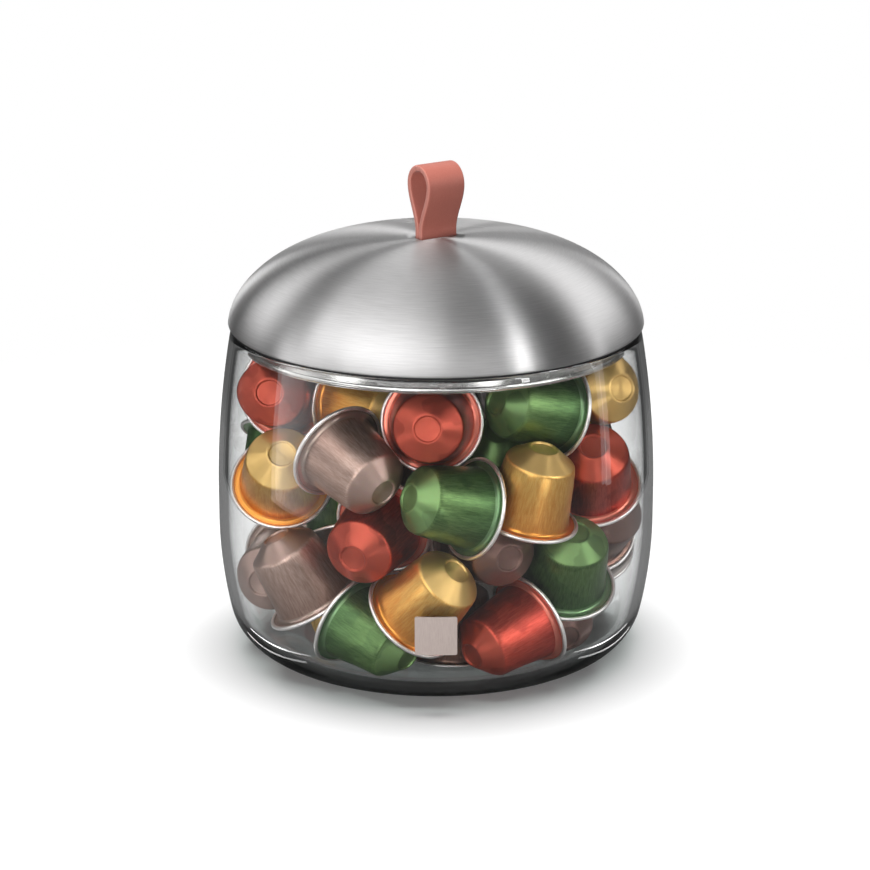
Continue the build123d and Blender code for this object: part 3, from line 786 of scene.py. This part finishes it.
@dataclass
class Lid:
    """Domed lid with its hem, plug ring and gasket.

    The hem's points are (distance in from the widest radius, height over the edge). They stand in
    for the dome's own below hem_top.
    """

    edge_z: float
    rise: float = 31.8
    radius: float = 76.4
    sheet: float = 0.8
    crown_r: float = 11.0
    power: float = 2.5
    fall: float = 1.72
    hem: Line = ((0.0, 0.55), (0.08, 0.22), (0.3, 0.03), (0.6, 0.0))
    hem_top: float = 0.7
    slot_half: Pair = (8.05, 2.5)
    slot_turn: float = 33.0
    plug_depth: float = 7.0
    plug_r: float = 70.954
    bead_r: float = 1.0
    bead_inset: float = 0.5
    bead_half_angle: float = 60.0
    gap: float = 0.05
    gasket_thick: float = 0.8
    gasket_inset: float = 0.5
    skirt_thick: float = 0.85
    skirt_depth: float = 2.6
    crisp_angle: float = 40.0
    segments: int = 256
    dome_steps: int = 60
    bead_steps: int = 8

    @property
    def apex(self) -> float:
        """Height of the flat crown."""
        return self.edge_z + self.rise

    def face(self, reach: float, widest: float, rise: float) -> Profile:
        """One face of the sheet.

        Args:
            reach: Radius of its last point.
            widest: Radius at which its curve meets the edge.
            rise: Height of its crown over the edge.

        Returns:
            Points from the crown outwards.
        """
        points = []
        for k in range(self.dome_steps + 1):
            part = math.sin(math.pi / 2 * k / self.dome_steps)
            r = self.crown_r + (reach - self.crown_r) * part
            share = min(1.0, (r - self.crown_r) / (widest - self.crown_r))
            points.append((r, self.edge_z + rise * (1 - share ** self.power) ** (1 / self.fall)))
        return points

    def sheet_profile(self) -> Profile:
        """Go from the slot out over the crown, round the hem and back inside.

        Returns:
            The profile.
        """
        hem_in = self.radius - 2 * self.sheet
        outer = self.face(self.radius, self.radius, self.rise)
        inner = self.face(hem_in, self.radius - self.sheet, self.rise - self.sheet)
        outer = [p for p in outer if p[1] > self.edge_z + self.hem_top]
        hem = [(self.radius - inset, self.edge_z + lift) for inset, lift in self.hem]
        return outer + hem + [(hem_in, self.edge_z)] + inner[::-1]

    def slot_ring(self, height: float) -> list[Triple]:
        """Points on the slot's outline.

        Args:
            height: Height of the points.

        Returns:
            One point for each step round the lid.
        """
        half_x, half_y = self.slot_half
        turn = math.radians(self.slot_turn)
        ring = []
        for k in range(self.segments):
            a = 2 * math.pi * k / self.segments - turn
            c, s = abs(math.cos(a)), abs(math.sin(a))
            reach = min(half_x / max(c, NEARLY_ZERO), half_y / max(s, NEARLY_ZERO))
            ring.append((reach * math.cos(a + turn), reach * math.sin(a + turn), height))
        return ring

    def dome(self) -> Object:
        """Make the dome, with the strap's slot through its crown.

        Returns:
            The dome.
        """
        profile = self.sheet_profile()
        points, faces, _ = lathe(profile, self.segments)
        first, last = 0, (len(profile) - 1) * self.segments
        top = len(points)
        points += self.slot_ring(self.apex)
        low = len(points)
        points += self.slot_ring(self.apex - self.sheet)
        for k in range(self.segments):
            n = (k + 1) % self.segments
            faces.append([top + k, top + n, first + n, first + k])
            faces.append([last + k, last + n, low + n, low + k])
            faces.append([low + k, low + n, top + n, top + k])
        piece = mesh_object("lid_dome_brushed", points, faces, [BrushedSteel().material()])
        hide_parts("lid_dome")
        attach(piece, "lid")
        return piece

    def ring(self) -> Object:
        """Make the plug ring: flange, wall and rolled bead.

        Returns:
            The ring.
        """
        wall_in = self.plug_r - self.sheet
        out = self.radius - 2 * self.sheet - self.gap
        low = self.edge_z - self.plug_depth
        bead = arc((self.plug_r - self.bead_inset, low + self.bead_r), self.bead_r,
                   self.bead_half_angle, -self.bead_half_angle, self.bead_steps)
        flange = [(wall_in, self.edge_z + self.sheet), (out, self.edge_z + self.sheet),
                  (out, self.edge_z), (self.plug_r, self.edge_z)]
        profile = (flange + [(self.plug_r, low + 2 * self.bead_r)] + bead
                   + [(self.plug_r, low), (wall_in, low)])
        points, faces, _ = lathe(profile, self.segments, True)
        piece = mesh_object("lid_plug_ring", points, faces, [SATIN_STEEL.material()])
        sharpen(piece, self.crisp_angle)
        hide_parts("plug_ring")
        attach(piece, "lid")
        return piece

    def gasket(self) -> Object:
        """Make the gasket: a flat ring under the lid's edge and a skirt in the mouth.

        Returns:
            The gasket.
        """
        low = self.edge_z - self.gasket_thick
        inner = self.plug_r + self.gap
        outer = self.radius - self.gasket_inset
        skirt, foot = inner + self.skirt_thick, low - self.skirt_depth
        corners = [(inner, self.edge_z), (outer, self.edge_z), (outer, low), (skirt, low),
                   (skirt, foot), (inner, foot)]
        profile = rounded(corners, radii=[0.0, 0.15, 0.15, 0.0, 0.3, 0.1])
        points, faces, _ = lathe(profile, self.segments, True)
        piece = mesh_object("lid_gasket_black", points, faces, [SILICONE.material()])
        sharpen(piece, self.crisp_angle)
        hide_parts("gasket")
        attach(piece, "lid")
        return piece

    def build(self) -> list[Object]:
        """Make the lid's pieces and dress the small CAD nodes inside it.

        Returns:
            All of them.
        """
        steel = WELDED_STEEL.material()
        inside = [dress(node, steel) for node in ("slot_plate", "rivet", "rivet_cap")]
        return [self.dome(), self.ring(), self.gasket()] + inside


@dataclass
class Strap:
    """Leather strap folded into a loop. Its tails go down through the lid's slot."""

    apex: float
    width: float = 15.5
    thick: float = 2.2
    turn: float = 33.0
    loop_r: float = 7.5
    loop_height: float = 27.3
    tail: float = 11.0
    tail_step: float = 2.0
    tail_rows: int = 7
    gap: float = 0.02
    neck: float = 0.3
    edge_round: float = 0.77
    round_steps: int = 5
    edge_tolerance: float = 0.5
    steps: int = 26
    crisp_angle: float = 50.0

    def path(self) -> Profile:
        """Follow the strap's middle from one tail's end to the other's.

        Returns:
            Points as (across, height).
        """
        half = self.thick / 2
        top = self.apex + self.loop_height - self.loop_r
        reach = self.loop_r - half
        start = self.apex + self.thick + self.neck
        side: Profile = [(half + self.gap, self.apex - self.tail + self.tail_step * k)
                         for k in range(self.tail_rows)]
        for k in range(self.steps + 1):
            t = k / self.steps
            blend = t * t * (3 - 2 * t)
            side.append((half + self.gap + (reach - half) * blend, start + (top - start) * t))
        crown = arc((0, top), reach, 0, 180, self.steps)[1:-1]
        return side + crown + [(-x, z) for x, z in side[::-1]]

    def section(self) -> Profile:
        """Rounded outline of the strap cut across: (along the width, through the thickness)."""
        w, t = self.width / 2, self.thick / 2
        return rounded([(-w, -t), (w, -t), (w, t), (-w, t)], [self.edge_round] * 4,
                       self.round_steps)

    def build(self) -> list[Object]:
        """Make the strap as one piece.

        Returns:
            The strap.
        """
        path, section = self.path(), self.section()
        turn = math.radians(self.turn)
        along = Vector((math.cos(turn), math.sin(turn), 0))
        across = Vector((-math.sin(turn), math.cos(turn), 0))
        points: list[Vector] = []
        for i, (u, z) in enumerate(path):
            before, after = path[max(0, i - 1)], path[min(len(path) - 1, i + 1)]
            run = Vector((after[0] - before[0], after[1] - before[1])).normalized()
            normal = Vector((-run[1], run[0]))
            for w, t in section:
                points.append(along * w + across * (u + normal[0] * t)
                              + Vector((0, 0, z + normal[1] * t)))
        count = len(section)
        faces, cut_edge = [], []
        for i in range(len(path) - 1):
            low, high = i * count, (i + 1) * count
            for k in range(count):
                n = (k + 1) % count
                faces.append([low + k, low + n, high + n, high + k])
                both = abs(section[k][0] + section[n][0])
                cut_edge.append(int(both > self.width - self.edge_tolerance))
        faces.append(list(range(count))[::-1])
        faces.append([(len(path) - 1) * count + k for k in range(count)])
        cut = DyedLeather("leather_terracotta_cut_edge", "bd7467", "c98275", "cf8a7d")
        piece = mesh_object("strap_of_leather", points, faces,
                            [DyedLeather().material(), cut.material()], cut_edge + [0, 0])
        sharpen(piece, self.crisp_angle)
        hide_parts("strap_loop", "strap_tails")
        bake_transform(piece)
        return [piece]


@dataclass
class CapsuleShape:
    """Shape of one capsule, standing on its foil with the foil's plane at zero.

    The lines are runs of (radius, height) from the foil's middle, round the curled rim, to the tip.
    """

    rim_r: float = 18.5
    curl_r: float = 0.75
    curl_steps: int = 12
    foil_line: Line = ((0.0, 0.02), (8.0, 0.0), (16.6, 0.0))
    flange_line: Line = ((16.9, 0.62), (15.9, 0.66), (15.3, 0.85), (14.95, 1.3), (14.82, 1.9))
    cup_line: Line = (
        (14.7, 3.0), (14.35, 6.0), (13.8, 11.0), (13.2, 16.5), (12.55, 21.5), (12.33, 22.6),
        (12.15, 23.15), (11.85, 23.55))
    cone_line: Line = (
        (11.3, 23.95), (9.0, 25.6), (7.0, 27.1), (5.7, 28.15), (5.3, 28.4), (5.0, 28.48),
        (4.7, 28.42), (4.45, 28.1), (4.3, 27.92), (4.0, 27.88), (0.0, 27.88))
    segments: int = 72
    crisp_angle: float = 35.0
    bare: list[Material] = field(default_factory=lambda: [FOIL.material(), RIM.material()])
    meshes: dict[CapsuleColour, Mesh] = field(default_factory=dict)

    def profile(self) -> tuple[Profile, list[int]]:
        """Join the lines from the foil's middle to the tip.

        Returns:
            The profile, and the material slot of each step.
        """
        curl = arc((self.rim_r - self.curl_r, self.curl_r / 2), self.curl_r, -120, 150,
                   self.curl_steps)
        runs = (self.foil_line, curl, self.flange_line, self.cup_line, self.cone_line)
        slots = [slot for slot, run in enumerate(runs) for _ in run]
        return [point for run in runs for point in run], slots[1:]

    def mesh(self, colour: CapsuleColour) -> Mesh:
        """Make a colour's mesh once, for all its capsules.

        Args:
            colour: Colour of the capsules.

        Returns:
            The mesh.
        """
        if colour not in self.meshes:
            line, slots = self.profile()
            points, faces, steps = lathe(line, self.segments)
            paint = AnodisedAluminium(colour)
            finishes = self.bare + [paint.flange(), paint.cup(), paint.cone()]
            piece = mesh_object(f"capsule_mesh_{colour.value}", points, faces, finishes,
                                [slots[s] for s in steps])
            sharpen(piece, self.crisp_angle)
            self.meshes[colour] = piece.data
            bpy.data.objects.remove(piece)
        return self.meshes[colour]


@dataclass
class Pile:
    """All the capsules, each put where its CAD solid stands."""

    shape: CapsuleShape = field(default_factory=CapsuleShape)
    roll: float = 47.0

    def solids(self, node: Object) -> list[list[MeshPolygon]]:
        """Tell the solids of a node apart. Faces whose corners share a place belong together.

        Args:
            node: CAD node.

        Returns:
            The faces of each solid.
        """
        mesh = node.data
        places = [tuple(round(c, 6) for c in vertex.co) for vertex in mesh.vertices]
        group = {place: place for place in places}

        def root(place: tuple) -> tuple:
            """Find the place that stands for a solid.

            Args:
                place: Place of one of its corners.

            Returns:
                The place that all its corners lead to.
            """
            while group[place] != place:
                group[place] = group[group[place]]
                place = group[place]
            return place

        for polygon in mesh.polygons:
            first = root(places[polygon.vertices[0]])
            for v in polygon.vertices[1:]:
                group[root(places[v])] = first
        found: dict[tuple, list[MeshPolygon]] = {}
        for polygon in mesh.polygons:
            found.setdefault(root(places[polygon.vertices[0]]), []).append(polygon)
        return list(found.values())

    def stance(self, node: Object, faces: list[MeshPolygon]) -> Matrix:
        """Read where a capsule stands from its foil, the largest flat face of its solid.

        Args:
            node: CAD node of the capsule.
            faces: Faces of its solid.

        Returns:
            The capsule's place and turn in the world.
        """
        flats: dict[tuple, list] = {}
        for face in faces:
            key = tuple(round(c, 2) for c in face.normal)
            flats.setdefault(key, []).append(face)
        foil = max(flats.values(), key=lambda group: sum(f.area for f in group))
        area = sum(f.area for f in foil)
        middle = sum((f.center * f.area for f in foil), Vector()) / area
        tip = -sum((f.normal * f.area for f in foil), Vector()).normalized()
        turn = tip.to_track_quat("Z", "Y").to_matrix().to_4x4()
        return node.matrix_world @ (Matrix.Translation(middle) @ turn)

    def build(self) -> list[Object]:
        """Make every capsule. Only the core's node holds more than one.

        Returns:
            The capsules.
        """
        made = []
        for name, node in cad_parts.items():
            if not name.startswith("capsule"):
                continue
            word = name.split("_")[1]
            core = word == "core"
            colour = CapsuleColour.BROWN if core else CapsuleColour(word)
            groups = self.solids(node) if core else [list(node.data.polygons)]
            for number, faces in enumerate(groups):
                label = f"{name}_dressed" if len(groups) == 1 else f"{name}_dressed_{number + 1}"
                piece = show(bpy.data.objects.new(label, self.shape.mesh(colour)))
                roll = Matrix.Rotation(math.radians(self.roll * len(made)), 4, "Z")
                piece.matrix_world = self.stance(node, faces) @ roll
                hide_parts(name)
                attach(piece, "jar")
                made.append(piece)
        return made


@dataclass(frozen=True)
class Stand:
    """Something that stands round the jar and faces its middle.

    Angles are in degrees, from the front towards +X and up, and lengths in metres.
    """

    name: str
    azimuth: float
    elevation: float
    distance: float
    size: Pair

    def place(self, thing: Object, aim_height: float = 0.09) -> None:
        """Put an object in the stand's place.

        Args:
            thing: Object to put there.
            aim_height: Height of the point that it faces.
        """
        a, e = math.radians(self.azimuth), math.radians(self.elevation)
        away = Vector((math.sin(a) * math.cos(e), -math.cos(a) * math.cos(e), math.sin(e)))
        thing.location = Vector((0, 0, aim_height)) + away * self.distance
        thing.rotation_euler = away.to_track_quat("Z", "Y").to_euler()


@dataclass(frozen=True)
class Softbox(Stand):
    """Area lamp that lights matt surfaces. Mirrors and glass see the cards in its stead."""

    watts: float

    def build(self) -> None:
        """Put the lamp in the scene."""
        lamp = bpy.data.lights.new(self.name, "AREA")
        lamp.shape = "RECTANGLE"
        lamp.size, lamp.size_y = self.size
        lamp.energy = self.watts
        holder = show(bpy.data.objects.new(self.name, lamp))
        holder.visible_glossy = holder.visible_transmission = False
        self.place(holder)


@dataclass(frozen=True)
class Card(Stand):
    """Glowing card that only mirrors and glass see: a painted reflection of a lit panel or, at a
    low level, a painted dark reflection, as of black cloth.

    A level of 1 is white, and fade holds its shares at the card's left and right edge. A card for
    the inside is mirrored only by what is in the jar.
    """

    level: float
    fade: Pair = (1.0, 1.0)
    inside: bool = False

    def face(self) -> Material:
        """Make a face that throws no light on matt surfaces.

        Returns:
            The face's material.
        """
        kit = MaterialKit(self.name)
        across = kit.split(kit.coords("Generated"))
        strength = kit.span((across, "X"), smooth=True,
                            end=(self.level * self.fade[0], self.level * self.fade[1]))
        path = kit.add("ShaderNodeLightPath")
        first_hand = kit.math("SUBTRACT", 1.0, (path, "Diffuse Depth"), clamp=True)
        shown = kit.math("MULTIPLY", strength, first_hand)
        # Painted reflection: the card glows, though it is no lamp, and only mirrors and glass see
        # it.
        glow = (kit.add("ShaderNodeEmission", {"Strength": shown}), "Emission")
        if self.inside:
            kit.blend(seen_inside(kit, path), kit.clear(), glow)
        else:
            kit.show(glow)
        return kit.material

    def build(self) -> None:
        """Put the card in the scene."""
        half_x, half_y = (side / MM / 2 for side in self.size)
        piece = sheet(self.name, half_x, half_y, self.face())
        self.place(piece)
        piece.visible_camera = piece.visible_diffuse = piece.visible_shadow = False


@dataclass
class Studio:
    """Floor, lamps, cards, world light and camera."""

    camera_distance: float = 1.2
    camera_tilt: float = 17.336
    aim_height: float = 0.07967
    lens: float = 133.5
    sensor: float = 36.0
    shift: float = -1 / 870
    clip_end: float = 50.0
    world: float = 0.12
    paper_fade: Pair = (0.3, 0.44)
    paper_margin: float = 0.05
    lamps: tuple[Softbox, ...] = (
        Softbox("lamp_overhead", 180, 85, 1.8, (0.98, 0.9), 44.0),
        Softbox("lamp_fill_front", -18, 3, 0.9, (0.5, 0.14), 6.3),
    )
    # Glowing cards that only mirrors and glass see: painted reflections and highlights, not lamps.
    cards: tuple[Card, ...] = (
        Card("card_key", -40, 36, 0.7, (0.92, 0.6), 3.2),
        Card("card_front", 2, 22, 0.75, (0.95, 0.3), 2.3),
        Card("card_back", 160, 34, 0.8, (0.7, 0.4), 1.2),
        Card("card_rim_left", -157, 6, 0.75, (0.12, 0.22), 2.4),
        Card("card_rim_right", 157, 5, 0.75, (0.12, 0.2), 1.4),
        Card("card_far_left", -124, 24, 0.7, (0.34, 0.4), 2.2),
        Card("card_strip_right", 47, 24, 0.7, (0.055, 0.4), 14.0),
        Card("card_far_right", 116, 26, 0.7, (0.46, 0.4), 1.9),
        Card("card_veil_left", -66, 2, 0.3, (0.2, 0.26), 1.9, (1.0, 0.15)),
        Card("card_veil_right", 97, 4, 0.3, (0.1, 0.2), 1.6),
        # Thin glowing strips by the foot: painted highlight streaks on the glass's lower corners.
        Card("card_streak_left", -62, -49, 0.117, (0.05, 0.0016), 3.0),
        Card("card_streak_right", 68, -49, 0.117, (0.05, 0.0016), 3.0),
        # Dark cards: painted dark reflections on the glass's side edges.
        Card("dark_reflection_card_right", 112, 0, 0.24, (0.2, 0.2), 0.05),
        Card("dark_reflection_card_left", -112, 0, 0.24, (0.2, 0.2), 0.05),
        # Cards that only the capsules mirror: painted highlights on the capsules.
        Card("card_inside_front", -16, 8, 0.6, (0.14, 0.3), 5.5, inside=True),
        Card("card_inside_low", 26, -13, 0.24, (0.035, 0.05), 7.0, inside=True),
        Card("card_inside_low_left", -46, -12, 0.25, (0.06, 0.05), 4.5, inside=True),
        Card("card_inside_left", -84, 12, 0.6, (0.3, 0.3), 3.0, inside=True),
        Card("card_inside_right", 62, 12, 0.6, (0.16, 0.3), 5.5, inside=True),
    )

    def floor(self) -> None:
        """Lay the white paper that fills the background."""
        half = (self.paper_fade[1] + self.paper_margin) / MM
        piece = sheet("floor_paper", half, half, SeamlessPaper(self.paper_fade).material())

    def surroundings(self) -> None:
        """Set the world to an even grey that the camera sees as white, also through the glass."""
        world = bpy.data.worlds.new("studio_white")
        world.use_nodes = True
        kit = NodeKit(world.node_tree)
        background = kit.tree.nodes["Background"]
        background.inputs["Color"].default_value = WHITE
        path = kit.add("ShaderNodeLightPath")
        seen = kit.math("MAXIMUM", (path, "Is Camera Ray"), (path, "Is Transmission Ray"))
        bounces = kit.math("ADD", (path, "Glossy Depth"), (path, "Diffuse Depth"))
        direct = kit.math("SUBTRACT", seen, bounces, clamp=True)
        kit.feed(kit.span(direct, end=(self.world, 1.0)), background.inputs["Strength"])
        bpy.context.scene.world = world

    def camera(self) -> None:
        """Stand the camera where the photograph was taken from."""
        data = bpy.data.cameras.new("camera_photo")
        data.lens = self.lens
        data.sensor_width = self.sensor
        data.shift_x = self.shift
        data.clip_end = self.clip_end
        eye = show(bpy.data.objects.new("camera_photo", data))
        tilt = math.radians(self.camera_tilt)
        eye.location = (0, -self.camera_distance * math.cos(tilt),
                        self.aim_height + self.camera_distance * math.sin(tilt))
        eye.rotation_euler = (math.pi / 2 - tilt, 0, 0)
        bpy.context.scene.camera = eye

    def build(self) -> None:
        """Set the whole studio."""
        self.floor()
        for thing in self.lamps + self.cards:
            thing.build()
        self.surroundings()
        self.camera()
        bpy.context.scene.view_settings.view_transform = "Standard"


def main() -> None:
    """Build every part of the scene and report each piece."""
    edge_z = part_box("lid_dome")[0].z / MM
    Studio().build()
    log.info("studio done")
    lid = Lid(edge_z)
    for assembly in (GlassJar(), Badge(), lid, Strap(lid.apex), Pile()):
        for piece in assembly.build():
            log.info("%s: %s", type(assembly).__name__, piece.name)
    bpy.context.view_layer.update()


if __name__ == "__main__":
    main()
